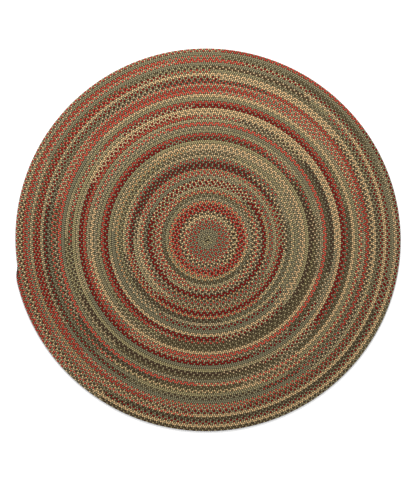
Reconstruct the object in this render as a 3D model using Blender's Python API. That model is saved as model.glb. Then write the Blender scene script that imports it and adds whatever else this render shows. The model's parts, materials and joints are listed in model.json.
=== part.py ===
"""Round braided rug: one long three-strand braid, coiled flat and laced edge to edge.

Units are metres, +Z up.  The rug lies on the plane z = 0, and its origin is under the middle
of its outline.  The braid starts at the middle of the coil and runs outward clockwise, seen
from above, so the outline is one turn of a spiral: it grows by one row of braid in a turn and
drops back where the braid's tapered tail is tucked against the row before it.
"""

import math

import bmesh
import bpy
from mathutils import Vector

# Driving dimensions
TAIL_RADIUS = 0.8455  # coil centre to the braid's outer edge, where the tail starts to taper
ROW_PITCH = 0.01515  # one row of braid, edge to edge, which the coil gains in a turn
THICKNESS = 0.0095  # one braid lying flat
RIM_ROUNDING = 0.0032  # the braid's rounded edge, above and below

# The tail, in degrees counterclockwise from +X
TAIL_TIP = 187.0  # here the last row has tapered away
TAIL_FULL = 192.6  # here the last row still has its full width
TAIL_POINTS = 8

# The coil lies a little out of round: lobes around it, how far each stands out, and where
LOBES = (
    # count, height, angle of one crest in degrees
    (2, 0.0046, -10.3),
    (3, 0.0011, 1.4),
)

OUTLINE_POINTS = 234  # around the rest of the outline
RIM_SEGMENTS = 3


def out_of_round(angle):
    """How far the outline stands out at this angle, in metres."""
    return sum(height * math.cos(count * math.radians(angle - crest)) for count, height, crest in LOBES)


def last_row_share(angle):
    """How much of the last row is left at this angle: 1 at full width, 0 past the tail's tip."""
    along = (angle - TAIL_TIP) / (TAIL_FULL - TAIL_TIP)
    along = min(max(along, 0.0), 1.0)
    return along * along * (3 - 2 * along)


def outline_radius(angle):
    """From the coil's centre to the rug's edge, for an angle from TAIL_TIP to TAIL_TIP + 360."""
    past_full = max(angle - TAIL_FULL, 0.0) / 360
    wound = TAIL_RADIUS - ROW_PITCH * past_full
    return wound - ROW_PITCH * (1 - last_row_share(angle)) + out_of_round(angle)


def outline_angles():
    """Close together along the tail, and evenly spaced around the rest."""
    tail_step = (TAIL_FULL - TAIL_TIP) / TAIL_POINTS
    rest_step = (TAIL_TIP + 360 - TAIL_FULL) / OUTLINE_POINTS
    tail = [TAIL_TIP + tail_step * i for i in range(TAIL_POINTS)]
    rest = [TAIL_FULL + rest_step * i for i in range(OUTLINE_POINTS)]
    return tail + rest


def outline():
    """The rug's edge, seen from above, with the middle of its box at the origin."""
    points = []
    for angle in outline_angles():
        radius = outline_radius(angle)
        turned = math.radians(angle)
        points.append(Vector((radius * math.cos(turned), radius * math.sin(turned), 0.0)))
    low = Vector(min(p[axis] for p in points) for axis in range(3))
    high = Vector(max(p[axis] for p in points) for axis in range(3))
    middle = (low + high) / 2
    return [p - middle for p in points]


def wool_material():
    """Dyed wool yarn, in the colour that the braid's many strands make from a distance."""
    material = bpy.data.materials.new("braided_wool")
    material.use_nodes = True
    shader = material.node_tree.nodes["Principled BSDF"]
    shader.inputs["Base Color"].default_value = (0.110, 0.084, 0.048, 1.0)
    shader.inputs["Roughness"].default_value = 0.92
    shader.inputs["Metallic"].default_value = 0.0
    return material


def rug_mesh():
    """The outline raised to the braid's thickness, with its rim rounded above and below."""
    mesh = bpy.data.meshes.new("braided_rug")
    bm = bmesh.new()
    underside = bm.faces.new([bm.verts.new(point) for point in outline()])
    raised = bmesh.ops.extrude_face_region(bm, geom=[underside], use_keep_orig=True)
    top = [item for item in raised["geom"] if isinstance(item, bmesh.types.BMVert)]
    bmesh.ops.translate(bm, verts=top, vec=(0.0, 0.0, THICKNESS))
    bmesh.ops.recalc_face_normals(bm, faces=bm.faces[:])
    rims = [edge for edge in bm.edges if edge.verts[0].co.z == edge.verts[1].co.z]
    bmesh.ops.bevel(
        bm,
        geom=rims,
        affect="EDGES",
        offset_type="OFFSET",
        offset=RIM_ROUNDING,
        segments=RIM_SEGMENTS,
        profile=0.5,
    )
    bm.to_mesh(mesh)
    bm.free()
    mesh.shade_smooth()
    mesh.set_sharp_from_angle(angle=math.radians(40))
    return mesh


def main():
    for old in list(bpy.data.objects):
        bpy.data.objects.remove(old, do_unlink=True)
    rug = bpy.data.objects.new("braided_rug", rug_mesh())
    rug.data.materials.append(wool_material())
    bpy.context.scene.collection.objects.link(rug)


main()
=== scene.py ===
import json
import math

import bmesh
import bpy
import numpy as np
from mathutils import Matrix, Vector

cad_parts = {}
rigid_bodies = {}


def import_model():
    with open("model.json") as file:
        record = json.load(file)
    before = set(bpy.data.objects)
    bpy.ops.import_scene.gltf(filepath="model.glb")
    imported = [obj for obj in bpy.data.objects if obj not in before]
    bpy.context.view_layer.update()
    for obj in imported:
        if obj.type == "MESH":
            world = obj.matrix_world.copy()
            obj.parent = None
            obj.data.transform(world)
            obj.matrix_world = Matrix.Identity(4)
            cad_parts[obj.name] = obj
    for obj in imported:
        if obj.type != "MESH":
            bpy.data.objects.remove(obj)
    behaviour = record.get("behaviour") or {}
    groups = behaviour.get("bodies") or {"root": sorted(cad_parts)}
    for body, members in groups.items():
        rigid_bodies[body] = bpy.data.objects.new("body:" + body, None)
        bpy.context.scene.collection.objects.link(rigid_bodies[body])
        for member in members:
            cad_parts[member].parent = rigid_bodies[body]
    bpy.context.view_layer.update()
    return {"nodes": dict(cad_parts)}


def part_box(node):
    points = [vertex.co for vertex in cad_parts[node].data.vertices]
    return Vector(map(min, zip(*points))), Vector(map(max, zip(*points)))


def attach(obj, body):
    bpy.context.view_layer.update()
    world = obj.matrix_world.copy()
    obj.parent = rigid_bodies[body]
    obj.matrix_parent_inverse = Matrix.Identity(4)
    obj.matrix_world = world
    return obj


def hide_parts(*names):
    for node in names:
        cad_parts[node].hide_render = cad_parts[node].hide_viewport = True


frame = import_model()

bl_info = {
    "name": "Braided rug",
    "version": (1, 0, 0),
    "blender": (4, 5, 0),
    "location": "View3D > Sidebar > Rug",
    "description": "Lays a round rug of one coiled three-strand braid and the studio around it",
    "category": "Object",
}

NODE = "braided_rug"
BODY = "root"
RUG_LOW, RUG_HIGH = (Vector(corner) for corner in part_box(NODE))
MID_HEIGHT = (RUG_LOW.z + RUG_HIGH.z) / 2

STRANDS = 3
SIDES = 5  # corners of a strand's cross-section
# Where a stitch has its cross-sections, in degrees of a strand's swing: two to each loop on the
# upper side, one to each loop below
RING_PHASES = (30.0, 60.0, 135.0, 210.0, 240.0, 315.0, 390.0)
TOUCHING = 0.0001  # vertices closer than this, in metres, are at the same place
BRAID_RUNS = 6  # the braid is kept in this many lengths, so that no mesh is too heavy

PATH_STEPS = 240  # points of the coil's path in one turn
TAPER_POINTS = 13  # and along the tail's taper
BOX_POINTS = 721  # and around the last turn, when its box is measured
TIP_THICKNESS = 0.3  # the braid at the tip of its tail, as a share of its full thickness
EASED_SHARE = 0.58  # of the rug's radius, inward from its edge

# The coil lies a little out of round: lobes around it, how far each stands out, and where
LOBES = (
    # count, height in metres, angle of one crest in degrees
    (2, 0.0046, -10.3),
    (3, 0.0011, 1.4),
)

CORE_INSET = 0.004  # from the rug's edge to the core's, in metres
CORE_THICKNESS = 0.35  # as a share of the rug's

FLOOR_SIZE = 30.0
FLOOR_GAP = 0.0003  # from the floor up to the rug's underside

YARNS = (
    # letter in the plan, name, colour
    ("s", "sage", "#80785c"),
    ("o", "olive", "#908260"),
    ("l", "straw", "#a29468"),
    ("w", "walnut", "#5c4e34"),
    ("c", "charcoal", "#4a3626"),
    ("t", "tan", "#d2ae7e"),
    ("a", "amber", "#c49362"),
    ("e", "cream", "#ba9f78"),
    ("k", "coral", "#c4523e"),
    ("r", "brick", "#aa3e2e"),
    ("m", "burgundy", "#7a0601"),
)

# The braider's plan, inward from the tail.  Each splice is given in hundredths of its turn, with
# the letters of the three strands' yarns from there on.
BRAID_PLAN = (
    (0, "00 rrs  06 res  09 ews  13 cwo  28 cos  36 wos  42 mos  57 rks  67 rrs  71 res"),
    (1, "00 kso  04 kes  12 tto  43 tes  50 eso  54 sso  85 sse  89 tso  94 tco"),
    (2, "13 mco  15 mso  44 sso  52 wso  56 wsw  65 wso  71 kso  76 kro  79 rro"),
    (3, "06 rso  12 wso  15 wcs  41 mso  63 meo  69 rko  75 kes  92 kss"),
    (4, "06 kes  10 keo  17 kto  21 tto  57 tes  63 sso  90 tso"),
    (5, "00 aso  11 two  18 eco  20 mso  57 rso  60 lso  62 ecw  72 lcs  77 wso  80 rwo  97 mrs"),
    (6, "04 rrs  17 res  26 rwo  42 wso  46 ocs  52 lcs  58 wso  67 lso  72 rls  76 meo  79 mko  88 mro"),
    (7, "04 rks  09 kes  17 kls  33 les  40 tls  44 tts  78 tes  86 tso"),
    (8, "00 ewo  06 sss  33 ecs  42 tcs  58 tts  67 tes  71 tms  72 mso  90 mes  94 mcs"),
    (9, "04 mws  14 wso  18 cso  28 rcs  32 rss  38 rrs  66 rcs  77 ecs  84 swo  92 css"),
    (10, "00 wss  10 oss  15 llo  22 lso  31 wso  43 eso  48 kss  52 kse  86 keo  94 kwo"),
    (11, "10 kew  12 tlw  25 tto  28 rto  43 rts  56 kes  63 kss  67 rrs  86 reo  93 rwo  97 ecs"),
    (12, "06 wcs  17 wwo  26 weo  33 lso  54 eso  59 kes  72 kks"),
    (13, "21 kto  33 tto  74 tes  85 ess  88 sss"),
    (14, "00 ssl  15 sse  21 sso  26 wse  33 wsw  51 wsl  57 ssl  67 lso  92 elo  97 wlo"),
    (15, "04 ewo  11 wwo  31 wes  36 wrs  50 rrs  86 rse  94 rsw  98 cls"),
    (16, "04 cco  24 cew  29 mes  37 mms  74 mes  83 les  88 llo"),
    (17, "00 lle  04 llo  24 elo  31 tlo  34 tto  90 els"),
    (18, "04 sss  38 sse  46 stt  76 eme  90 smm"),
    (19, "28 ssm  36 sme  39 swe  43 scc  58 lce  63 ecs  68 ser  74 orr"),
    (20, "00 srr  11 oer  18 ser  26 sew  34 sww  59 sew  67 lse  86 lso  90 ose"),
    (21, "00 kts  06 kss  11 kes  16 kks  78 kes  93 tts"),
    (22, "00 tto  42 eso  53 sso  69 sse"),
    (23, "00 soo  07 swe  15 oww  44 swe  51 sol  57 lse  67 lso  97 lwe"),
    (24, "00 lso  05 lwo  15 oww  40 lww  47 ecw  52 rsw  57 res  63 rrs"),
    (25, "13 res  17 rwo  25 ewc  29 owc  38 occ  55 lcc  57 rcs  65 mws  76 mss  79 mms"),
    (26, "24 meo  34 mso  36 els  40 llo  81 lso"),
    (27, "00 tes  06 tts  82 tso  96 sss"),
    (28, "00 sss  35 tss  56 tls  61 tes  76 als"),
    (29, "00 ass  05 tss  13 rss  15 mss  38 lss  50 les  57 lso  67 wes  81 wls"),
    (30, "00 lws  07 wes  14 oes  19 ees  25 tls  67 tos  86 tls"),
    (31, "00 ecs  05 wcs  25 wss  51 ess  56 rss  89 res  99 ras"),
    (32, "34 tls  45 tcs  63 mcs"),
    (33, "00 mes  11 mms  46 mls  55 mcs  92 ecs  97 els"),
    (34, "10 rls  58 kls  86 res  92 tes"),
    (35, "13 ewo  39 els  67 ers  92 trs"),
    (36, "07 srs  64 ess  75 sss  90 scs"),
    (37, "00 ecs  13 acs  34 tcs  43 als  54 mts  92 mms"),
    (38, "59 mes  83 mls"),
    (39, "00 mes  09 les  16 ces  55 cls  61 els  83 res"),
    (40, "13 rts  54 ras  83 rts"),
    (41, "15 els  34 tcs  54 ews  60 ows  83 sws"),
    (42, "00 wws  33 wss  42 ess  83 ols"),
    (43, "00 als  33 ats  44 kts  54 kas"),
    (44, "23 kms"),
    (46, "00 krs  07 kos  20 kss  29 kes  32 tcl  54 tcs"),
    (47, "54 tls  67 tts  90 trs"),
    (48, "14 ers"),
    (49, "00 srs"),
    (51, "53 sso"),
    (53, "00 lso"),
)


def linear(colour):
    """A hex colour, given in sRGB, as linear red, green, blue and alpha."""
    parts = [int(colour[i : i + 2], 16) / 255 for i in (1, 3, 5)]
    return [c / 12.92 if c <= 0.04045 else ((c + 0.055) / 1.055) ** 2.4 for c in parts] + [1.0]


class BraidSizes(bpy.types.PropertyGroup):
    """The braid and the coil that it is wound into."""

    tail_radius: bpy.props.FloatProperty(
        name="Tail radius",
        description="From the coil's centre to the braid's outer edge, where its tail starts to taper",
        default=0.8455,
        unit="LENGTH",
    )
    row_pitch: bpy.props.FloatProperty(
        name="Row width",
        description="One row of braid from edge to edge, which the coil gains in a turn",
        default=0.01539,
        unit="LENGTH",
    )
    drift: bpy.props.FloatVectorProperty(
        name="Drift",
        description="How far the coil's first rows lie to one side of the middle of its last ones",
        default=(0.0040, -0.0052),
        size=2,
        unit="LENGTH",
    )
    easing: bpy.props.FloatProperty(
        name="Easing",
        description="How far out the rows a third of the way in lie, as the outer ones are tighter",
        default=0.0030,
        unit="LENGTH",
    )
    stitch: bpy.props.FloatProperty(
        name="Stitch",
        description="Length of braid in which a strand goes from one edge to the other and back",
        default=0.0272,
        unit="LENGTH",
    )
    swing: bpy.props.FloatProperty(
        name="Swing",
        description="How far a strand's middle goes to each side of the braid's middle",
        default=0.0056,
        unit="LENGTH",
    )
    lift: bpy.props.FloatProperty(
        name="Lift",
        description="How far a strand's middle rises and falls as it crosses the others",
        default=0.0024,
        unit="LENGTH",
    )
    strand_width: bpy.props.FloatProperty(
        name="Strand width",
        description="A strand from above",
        default=0.0080,
        unit="LENGTH",
    )
    strand_height: bpy.props.FloatProperty(
        name="Strand height",
        description="A strand from the side",
        default=0.0051,
        unit="LENGTH",
    )
    tail_tip: bpy.props.FloatProperty(
        name="Tail tip",
        description="Where the tail ends, counterclockwise from +X",
        default=math.radians(187.0),
        subtype="ANGLE",
    )
    tail_full: bpy.props.FloatProperty(
        name="Tail full",
        description="Where the tail still has its full width, counterclockwise from +X",
        default=math.radians(192.6),
        subtype="ANGLE",
    )
    start_radius: bpy.props.FloatProperty(
        name="Start radius",
        description="How far the braid's middle is from the coil's centre where the braid starts",
        default=0.0034,
        unit="LENGTH",
    )


class StudioSizes(bpy.types.PropertyGroup):
    """Camera, light and floor."""

    camera_height: bpy.props.FloatProperty(
        name="Camera height",
        description="Camera above the floor",
        default=7.0,
        unit="LENGTH",
    )
    view_height: bpy.props.FloatProperty(
        name="View height",
        description="How much floor the frame's long side takes in",
        default=2.0928,
        unit="LENGTH",
    )
    view_shift: bpy.props.FloatProperty(
        name="View shift",
        description="How far above the frame's middle the rug's middle is",
        default=0.0010,
        unit="LENGTH",
    )
    fill_light: bpy.props.FloatProperty(
        name="Fill light",
        description="Strength of the even white light from all around",
        default=1.0,
    )
    lamp_power: bpy.props.FloatProperty(
        name="Lamp power",
        description="Power of the broad lamp past the rug's far side, which shows the braid's relief",
        default=64.0,
        unit="POWER",
    )
    lamp_size: bpy.props.FloatProperty(
        name="Lamp size",
        description="Width of the broad lamp",
        default=1.2,
        unit="LENGTH",
    )
    lamp_place: bpy.props.FloatVectorProperty(
        name="Lamp place",
        description="Where the lamp stands, from the rug's middle, with its light on that middle",
        default=(-0.2, 1.9, 1.9),
        size=3,
        unit="LENGTH",
    )
    floor_colour: bpy.props.FloatVectorProperty(
        name="Floor",
        description="Colour of the paper that the rug lies on",
        subtype="COLOR",
        size=4,
        default=linear("#f6f6f6"),
        min=0.0,
        max=1.0,
    )


# ------------------------------------------------------------------------------ helpers


def deselect_all():
    for thing in bpy.context.view_layer.objects:
        thing.select_set(False)


def make_active(thing):
    deselect_all()
    thing.select_set(True)
    bpy.context.view_layer.objects.active = thing


def last_added(name):
    """Names the object that an operator has just made, and its data."""
    thing = bpy.context.active_object
    thing.name = name
    thing.data.name = name
    return thing


def apply_modifier(thing, modifier):
    make_active(thing)
    bpy.ops.object.modifier_apply(modifier=modifier.name)


def add_node(tree, kind, settings=None, inputs=None, links=None):
    """Adds a node, sets its properties and sockets, and links sockets to (node, output) pairs."""
    node = tree.nodes.new(kind)
    for name, value in (settings or {}).items():
        setattr(node, name, value)
    for name, value in (inputs or {}).items():
        node.inputs[name].default_value = value
    for name, (source, output) in (links or {}).items():
        tree.links.new(source.outputs[output], node.inputs[name])
    return node


# ----------------------------------------------------------------------------- the coil


def tail_half(sizes):
    """Half of the tail's taper, in turns."""
    return (sizes.tail_full - sizes.tail_tip) / (4 * math.pi)


def tail_share(sizes, turns):
    """How much of its full width the braid has: none at its tip, all of it past the taper."""
    share = np.clip((turns + tail_half(sizes)) / (2 * tail_half(sizes)), 0.0, 1.0)
    return share * share * (3 - 2 * share)


def coil_place(sizes, turns, outward=0.0):
    """The point so many turns in from the tail and so far outward of the braid's middle."""
    angle = (sizes.tail_tip + sizes.tail_full) / 2 + turns * 2 * math.pi
    radius = sizes.tail_radius - sizes.row_pitch * (turns + 0.5)
    share = tail_share(sizes, turns)
    lobes = sum(height * np.cos(count * (angle - math.radians(crest))) for count, height, crest in LOBES)
    outness = radius / sizes.tail_radius
    eased = sizes.easing * np.sin(np.pi * np.clip((1 - outness) / EASED_SHARE, 0.0, 1.0))
    reach = radius + eased - sizes.row_pitch / 2 * (1 - share) + outward * share + lobes * outness
    x = reach * np.cos(angle) + sizes.drift[0] * (1 - outness)
    y = reach * np.sin(angle) + sizes.drift[1] * (1 - outness)
    return x, y


def coil_middle(sizes):
    """The middle of the coil's box, from the point that its last turn winds about."""
    turns = np.linspace(-tail_half(sizes), 1 - tail_half(sizes), BOX_POINTS)
    x, y = coil_place(sizes, turns, sizes.row_pitch / 2)
    return (x.min() + x.max()) / 2, (y.min() + y.max()) / 2


def coil_turns(sizes):
    """The turns at the points of the coil's path, from the braid's start to the tip of its tail."""
    first = (sizes.tail_radius - sizes.start_radius) / sizes.row_pitch - 0.5
    taper = np.linspace(tail_half(sizes), -tail_half(sizes), TAPER_POINTS)
    return np.concatenate((np.arange(first, tail_half(sizes), -1 / PATH_STEPS), taper))


def coil_lengths(sizes):
    """The turns at the points of the coil's path, and the length of braid before each."""
    turns = coil_turns(sizes)
    x, y = coil_place(sizes, turns)
    steps = np.hypot(np.diff(x), np.diff(y))
    return turns, np.concatenate(([0.0], np.cumsum(steps)))


def draw_coil(sizes):
    """The coil's path as a flat curve at the rug's middle height, thinner where the tail tapers."""
    turns = coil_turns(sizes)
    x, y = coil_place(sizes, turns)
    middle_x, middle_y = coil_middle(sizes)
    flat, one = np.zeros_like(x), np.ones_like(x)
    points = np.stack((x - middle_x, y - middle_y, flat, one), axis=1)
    data = bpy.data.curves.new("coil_path", "CURVE")
    data.dimensions = "2D"
    data.use_deform_bounds = False
    spline = data.splines.new("POLY")
    spline.points.add(len(points) - 1)
    spline.points.foreach_set("co", points.astype(np.float32).ravel())
    thickness = TIP_THICKNESS + (1 - TIP_THICKNESS) * tail_share(sizes, turns)
    spline.points.foreach_set("radius", thickness.astype(np.float32))
    coil = bpy.data.objects.new("coil_path", data)
    coil.location.z = MID_HEIGHT
    bpy.context.scene.collection.objects.link(coil)
    return coil


# ---------------------------------------------------------------------------- materials

STITCH_OF_STRAND = 36.0  # roughly the millimetres of strand in one stitch
STRAND_GIRTH = 21.0  # millimetres around a strand
FIBRE_TWIST = math.radians(24.0)  # between the fibres and their strand
FIBRE_GRAIN = (0.16, 0.95)  # how fast the shade changes along the fibres and across them, a millimetre
HEATHER_DARK, HEATHER_LIGHT = 0.70, 1.22  # the darkest and lightest fibres, against the yarn's colour
# painted shade and painted highlight: by its height, the yarn's colour is darkened towards the furrows and
# lightened on the crests
FURROW_HEIGHT, CREST_HEIGHT = 0.0024, 0.0046  # from the rug's middle height, in metres
FURROW_PAINTED_SHADE, CREST_PAINTED_HIGHLIGHT = 0.10, 1.30  # what the yarn's colour is multiplied by at those heights


def yarn_material(name, colour):
    """Dyed wool roving: matte, with lighter and darker fibres, soft fuzz and a loose twist, with painted
    shade towards the furrows and a painted highlight on the crests.
    """
    material = bpy.data.materials.new(f"wool_roving_{name}")
    material.use_nodes = True
    tree = material.node_tree
    shader = tree.nodes["Principled BSDF"]
    base = linear(colour)
    shader.inputs["Roughness"].default_value = 0.95
    shader.inputs["Specular IOR Level"].default_value = 0.15
    shader.inputs["Sheen Weight"].default_value = 0.10
    shader.inputs["Sheen Roughness"].default_value = 0.6
    shader.inputs["Sheen Tint"].default_value = base
    # U counts stitches along the strand, and V counts strands, one around each
    place = add_node(tree, "ShaderNodeUVMap", {"uv_map": "Strand"})
    # in millimetres along and around the strand, turned as its fibres are twisted
    twist = add_node(
        tree,
        "ShaderNodeMapping",
        inputs={"Scale": (STITCH_OF_STRAND, STRAND_GIRTH, 1.0), "Rotation": (0.0, 0.0, FIBRE_TWIST)},
        links={"Vector": (place, "UV")},
    )
    fibres = add_node(
        tree,
        "ShaderNodeMapping",
        inputs={"Scale": (*FIBRE_GRAIN, 1.0)},
        links={"Vector": (twist, "Vector")},
    )
    heather = add_node(
        tree,
        "ShaderNodeTexNoise",
        inputs={"Scale": 1.0, "Detail": 3.0, "Roughness": 0.65},
        links={"Vector": (fibres, "Vector")},
    )
    shade = add_node(tree, "ShaderNodeValToRGB", links={"Fac": (heather, "Fac")})
    shade.color_ramp.elements[0].position = 0.28
    shade.color_ramp.elements[0].color = [c * HEATHER_DARK for c in base[:3]] + [1.0]
    shade.color_ramp.elements[1].position = 0.72
    shade.color_ramp.elements[1].color = [c * HEATHER_LIGHT for c in base[:3]] + [1.0]
    # painted shade and highlight: the yarn's colour is darkened towards the furrows, where a strand dives
    # under the next one, and lightened on the crests
    here = add_node(tree, "ShaderNodeTexCoord")
    split = add_node(tree, "ShaderNodeSeparateXYZ", links={"Vector": (here, "Object")})
    above = add_node(tree, "ShaderNodeMath", {"operation": "SUBTRACT"}, {1: MID_HEIGHT}, {0: (split, "Z")})
    away = add_node(tree, "ShaderNodeMath", {"operation": "ABSOLUTE"}, links={0: (above, "Value")})
    furrow = add_node(
        tree,
        "ShaderNodeMapRange",
        inputs={
            "From Min": FURROW_HEIGHT,
            "From Max": CREST_HEIGHT,
            "To Min": FURROW_PAINTED_SHADE,
            "To Max": CREST_PAINTED_HIGHLIGHT,
        },
        links={"Value": (away, "Value")},
    )
    painted_relief_colour = add_node(
        tree,
        "ShaderNodeVectorMath",
        {"operation": "SCALE"},
        links={0: (shade, "Color"), "Scale": (furrow, "Result")},
    )
    tree.links.new(painted_relief_colour.outputs["Vector"], shader.inputs["Base Color"])
    bump = add_node(
        tree,
        "ShaderNodeBump",
        inputs={"Strength": 0.6, "Distance": 0.0007},
        links={"Height": (heather, "Fac")},
    )
    tree.links.new(bump.outputs["Normal"], shader.inputs["Normal"])
    return material


def core_shade_material():
    """The braid's inside, where fibres and lacing thread fill the gaps, coloured nearly black as painted
    shade for the shadowed gaps between the strands.
    """
    material = bpy.data.materials.new("painted_furrow_shade")
    material.use_nodes = True
    tree = material.node_tree
    shader = tree.nodes["Principled BSDF"]
    shader.inputs["Roughness"].default_value = 1.0
    shader.inputs["Specular IOR Level"].default_value = 0.1
    place = add_node(tree, "ShaderNodeTexCoord")
    # clumps of fibre about a millimetre across
    fibres = add_node(
        tree,
        "ShaderNodeTexNoise",
        inputs={"Scale": 900.0, "Detail": 2.0},
        links={"Vector": (place, "Object")},
    )
    shade = add_node(tree, "ShaderNodeValToRGB", links={"Fac": (fibres, "Fac")})
    # painted shade: near-black wool for what shows of the shadowed gaps between the strands
    shade.color_ramp.elements[0].color = linear("#17140f")
    shade.color_ramp.elements[1].color = linear("#3a3224")
    tree.links.new(shade.outputs["Color"], shader.inputs["Base Color"])
    return material


def floor_material(colour):
    """Seamless paper: matte and nearly white."""
    material = bpy.data.materials.new("seamless_paper")
    material.use_nodes = True
    shader = material.node_tree.nodes["Principled BSDF"]
    shader.inputs["Base Color"].default_value = colour
    shader.inputs["Roughness"].default_value = 1.0
    shader.inputs["Specular IOR Level"].default_value = 0.0
    return material


# ---------------------------------------------------------------------------- the braid


def ring_along(sizes, number):
    """How far along its stitch a cross-section is."""
    return sizes.stitch * (RING_PHASES[number] - RING_PHASES[0]) / 360


def ring_of(sizes, number):
    """A strand's cross-section in its stitch: its place and its turn about Z."""
    phase = math.radians(RING_PHASES[number])
    slope = sizes.swing * 2 * math.pi / sizes.stitch * math.cos(phase)
    sideways, upward = sizes.swing * math.sin(phase), sizes.lift * math.sin(2 * phase)
    return Vector((0.0, sideways, upward)), math.atan(slope)


def draw_tube(sizes, name, start):
    """One stitch of one strand, still straight, with a map around and along it."""
    deselect_all()
    bpy.ops.mesh.primitive_circle_add(
        vertices=SIDES,
        radius=0.5,
        location=(start, 0.0, MID_HEIGHT),
        rotation=(math.radians(90), 0.0, math.radians(90)),
    )
    tube = last_added(name)
    bpy.ops.object.transform_apply(location=True, rotation=True, scale=True)
    bpy.ops.object.mode_set(mode="EDIT")
    bpy.ops.mesh.select_all(action="SELECT")
    for number in range(1, len(RING_PHASES)):
        step = ring_along(sizes, number) - ring_along(sizes, number - 1)
        bpy.ops.mesh.extrude_region_move(TRANSFORM_OT_translate={"value": (step, 0.0, 0.0)})
    bpy.ops.object.mode_set(mode="OBJECT")
    return tube


def turn_around(place):
    """How far around the strand a point is, in turns from the strand's top."""
    return math.atan2(-place.y, place.z - MID_HEIGHT) / (2 * math.pi) % 1.0


def map_tube(sizes, tube, start):
    """U runs from 0 to 1 along the stitch, and V from 0 to 1 around the strand."""
    mesh = tube.data
    layer = mesh.uv_layers.new(name="Strand")
    for face in mesh.polygons:
        middle = turn_around(face.center)
        for corner in face.loop_indices:
            place = mesh.vertices[mesh.loops[corner].vertex_index].co
            # the top is both 0 and 1, so each corner takes the one on its face's side
            turn = middle + (turn_around(place) - middle + 0.5) % 1.0 - 0.5
            layer.data[corner].uv = ((place.x - start) / sizes.stitch, turn)


def ring_corners(tube, place):
    """The vertices of the straight tube's cross-section at a place along it."""
    return [vertex.index for vertex in tube.data.vertices if abs(vertex.co.x - place) < TOUCHING]


def plait_tube(sizes, tube, start):
    """Swings, lifts, turns and flattens each cross-section of the straight tube."""
    places = [start + ring_along(sizes, number) for number in range(len(RING_PHASES))]
    rings = [ring_corners(tube, place) for place in places]
    make_active(tube)
    bpy.ops.object.mode_set(mode="EDIT")
    for number, corners in enumerate(rings):
        middle, turn = ring_of(sizes, number)
        bpy.ops.mesh.select_all(action="DESELECT")
        shape = bmesh.from_edit_mesh(tube.data)
        shape.verts.ensure_lookup_table()
        for corner in corners:
            shape.verts[corner].select_set(True)
        straight = (places[number], 0.0, MID_HEIGHT)
        flattened = (1.0, sizes.strand_width, sizes.strand_height)
        bpy.ops.transform.resize(value=flattened, center_override=straight)
        bpy.ops.transform.rotate(value=-turn, orient_axis="Z", center_override=straight)
        bpy.ops.transform.translate(value=middle)
    bpy.ops.object.mode_set(mode="OBJECT")


def copy_strand(sizes, strand, number):
    """A copy of the first strand, further on by its share of a stitch, with its own V in the map."""
    make_active(strand)
    bpy.ops.object.duplicate()
    copy = last_added(f"{strand.name}_{number + 1}")
    bpy.ops.transform.translate(value=(sizes.stitch * number / STRANDS, 0.0, 0.0))
    bpy.ops.object.transform_apply(location=True, rotation=True, scale=True)
    for corner in copy.data.uv_layers["Strand"].data:
        corner.uv.y += number
    return copy


def repeat_stitch(sizes, braid, count):
    """Repeats a stitch along the braid, each joined to the last and one further on in the map."""
    repeat = braid.modifiers.new("stitches", "ARRAY")
    repeat.count = count
    repeat.use_relative_offset = False
    repeat.use_constant_offset = True
    repeat.constant_offset_displace = (sizes.stitch, 0.0, 0.0)
    repeat.use_merge_vertices = True
    repeat.merge_threshold = TOUCHING
    repeat.offset_u = 1.0
    apply_modifier(braid, repeat)


def wind_braid(braid, coil):
    """Bends a straight length of braid along the coil."""
    wind = braid.modifiers.new("coil", "CURVE")
    wind.object = coil
    wind.deform_axis = "POS_X"
    apply_modifier(braid, wind)


def close_ends(braid):
    """Fills the strands' cut ends, and turns every face outward and smooth."""
    make_active(braid)
    bpy.ops.object.mode_set(mode="EDIT")
    bpy.ops.mesh.select_all(action="SELECT")
    bpy.ops.mesh.fill_holes(sides=SIDES)
    bpy.ops.mesh.select_all(action="SELECT")
    bpy.ops.mesh.normals_make_consistent(inside=False)
    bpy.ops.object.mode_set(mode="OBJECT")
    bpy.ops.object.shade_smooth()


def read_plan():
    """The turns where the yarns change, and the three yarns from there, as numbers in YARNS."""
    letters = [letter for letter, _, _ in YARNS]
    starts, yarns = [], []
    for turn, splices in BRAID_PLAN:
        for splice in splices.split("  "):
            share, strands = splice.split(" ")
            starts.append(turn + int(share) / 100)
            yarns.append([letters.index(letter) for letter in strands])
    return np.array(starts), np.array(yarns)


def face_middles(mesh):
    """Each face's middle in the map."""
    corners = np.empty(len(mesh.loops) * 2, np.float32)
    mesh.uv_layers["Strand"].data.foreach_get("uv", corners)
    first = np.empty(len(mesh.polygons), np.int32)
    mesh.polygons.foreach_get("loop_start", first)
    totals = np.add.reduceat(corners.reshape(-1, 2), first, axis=0)
    counts = np.diff(np.append(first, len(mesh.loops)))
    return totals / counts[:, None]


def splice_yarns(sizes, braid, first_stitch, materials):
    """Gives each face the yarn that the plan names for its strand at its place."""
    for material in materials:
        braid.data.materials.append(material)
    middles = face_middles(braid.data)
    strand = np.clip(np.floor(middles[:, 1]), 0, STRANDS - 1).astype(int)
    along = (first_stitch + middles[:, 0] + strand / STRANDS) * sizes.stitch
    turns, lengths = coil_lengths(sizes)
    starts, yarns = read_plan()
    row = np.searchsorted(starts, np.interp(along, lengths, turns), side="right") - 1
    yarn = yarns[np.clip(row, 0, None), strand]
    braid.data.polygons.foreach_set("material_index", yarn.astype(np.int32))


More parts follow.
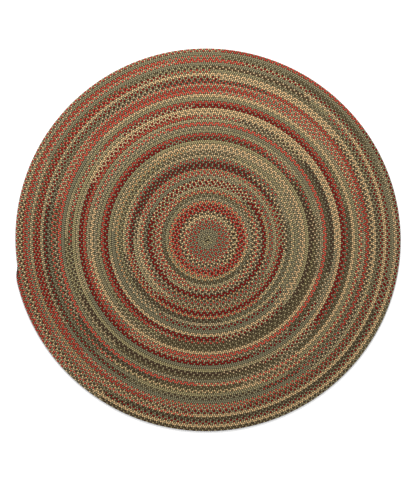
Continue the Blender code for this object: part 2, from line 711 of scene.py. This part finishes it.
def lay_run(sizes, run, coil, materials):
    """One length of the braid, all three strands, as one mesh."""
    stitches = int(coil_lengths(sizes)[1][-1] / sizes.stitch) - 1
    first, last = stitches * run // BRAID_RUNS, stitches * (run + 1) // BRAID_RUNS
    start = first * sizes.stitch
    strand = draw_tube(sizes, f"strand_{run + 1}", start)
    map_tube(sizes, strand, start)
    plait_tube(sizes, strand, start)
    copies = [copy_strand(sizes, strand, number) for number in range(1, STRANDS)]
    make_active(strand)
    for copy in copies:
        copy.select_set(True)
    bpy.ops.object.join()
    braid = last_added(f"braid_run_{run + 1}")
    repeat_stitch(sizes, braid, last - first)
    wind_braid(braid, coil)
    close_ends(braid)
    splice_yarns(sizes, braid, first, materials)
    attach(braid, BODY)
    return braid


class RUG_OT_lay_braid(bpy.types.Operator):
    """Plaits the three strands and winds them into the coil, one length after another"""

    bl_idname = "rug.lay_braid"
    bl_label = "Lay the braid"

    def execute(self, context):
        sizes = context.scene.rug_braid
        materials = [yarn_material(name, colour) for _, name, colour in YARNS]
        coil = draw_coil(sizes)
        for run in range(BRAID_RUNS):
            lay_run(sizes, run, coil, materials)
        bpy.data.objects.remove(coil)
        return {"FINISHED"}


class RUG_OT_lay_core(bpy.types.Operator):
    """Lays the sheet that the laced rows make inside, between the strands' upper and lower loops"""

    bl_idname = "rug.lay_core"
    bl_label = "Lay the laced core"

    def execute(self, context):
        core = bpy.data.objects.new("laced_core", frame["nodes"][NODE].data.copy())
        core.data.name = "laced_core"
        context.scene.collection.objects.link(core)
        size = RUG_HIGH - RUG_LOW
        make_active(core)
        bpy.ops.object.mode_set(mode="EDIT")
        bpy.ops.mesh.select_all(action="SELECT")
        bpy.ops.mesh.remove_doubles(threshold=TOUCHING / 10)
        inset = 1 - 2 * CORE_INSET / size.x
        thinned = (inset, inset, CORE_THICKNESS)
        bpy.ops.transform.resize(value=thinned, center_override=(0.0, 0.0, MID_HEIGHT))
        bpy.ops.object.mode_set(mode="OBJECT")
        core.data.materials.clear()
        # the core fills the gaps between the strands, and its near-black colour is painted shade
        core.data.materials.append(core_shade_material())
        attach(core, BODY)
        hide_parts(NODE)
        return {"FINISHED"}


class RUG_OT_set_stage(bpy.types.Operator):
    """Sets the floor, the soft lights and the camera straight above the rug"""

    bl_idname = "rug.set_stage"
    bl_label = "Set the stage"

    def execute(self, context):
        studio = context.scene.rug_studio
        deselect_all()
        under = (0.0, 0.0, RUG_LOW.z - FLOOR_GAP)
        bpy.ops.mesh.primitive_plane_add(size=FLOOR_SIZE, location=under)
        floor = last_added("floor")
        floor.data.materials.append(floor_material(studio.floor_colour))
        world = bpy.data.worlds.new("studio")
        world.use_nodes = True
        context.scene.world = world
        background = world.node_tree.nodes["Background"]
        background.inputs["Color"].default_value = linear("#ffffff")
        background.inputs["Strength"].default_value = studio.fill_light
        deselect_all()
        bpy.ops.object.light_add(type="AREA", location=studio.lamp_place)
        lamp = last_added("soft_lamp")
        lamp.data.shape = "DISK"
        lamp.data.size = studio.lamp_size
        lamp.data.energy = studio.lamp_power
        lamp.rotation_euler = Vector(studio.lamp_place).to_track_quat("Z", "Y").to_euler()
        deselect_all()
        bpy.ops.object.camera_add(location=(0.0, -studio.view_shift, studio.camera_height))
        camera = last_added("camera")
        camera.rotation_euler = (0.0, 0.0, 0.0)  # straight down
        camera.data.sensor_width = 36.0
        camera.data.lens = camera.data.sensor_width * studio.camera_height / studio.view_height
        camera.data.clip_end = 100.0
        context.scene.camera = camera
        context.scene.view_settings.view_transform = "Standard"
        return {"FINISHED"}


class RUG_PT_panel(bpy.types.Panel):
    """Lists the rug's sizes and steps"""

    bl_label = "Braided rug"
    bl_idname = "RUG_PT_panel"
    bl_space_type = "VIEW_3D"
    bl_region_type = "UI"
    bl_category = "Rug"

    def draw(self, context):
        for group in (context.scene.rug_braid, context.scene.rug_studio):
            for name in group.__annotations__:
                self.layout.prop(group, name)
        for step in (RUG_OT_lay_braid, RUG_OT_lay_core, RUG_OT_set_stage):
            self.layout.operator(step.bl_idname)


CLASSES = (
    BraidSizes,
    StudioSizes,
    RUG_OT_lay_braid,
    RUG_OT_lay_core,
    RUG_OT_set_stage,
    RUG_PT_panel,
)


def register():
    for cls in CLASSES:
        bpy.utils.register_class(cls)
    bpy.types.Scene.rug_braid = bpy.props.PointerProperty(type=BraidSizes)
    bpy.types.Scene.rug_studio = bpy.props.PointerProperty(type=StudioSizes)


def unregister():
    del bpy.types.Scene.rug_studio
    del bpy.types.Scene.rug_braid
    for cls in reversed(CLASSES):
        bpy.utils.unregister_class(cls)


def main():
    register()
    bpy.ops.rug.lay_braid()
    bpy.ops.rug.lay_core()
    bpy.ops.rug.set_stage()


if __name__ == "__main__":
    main()
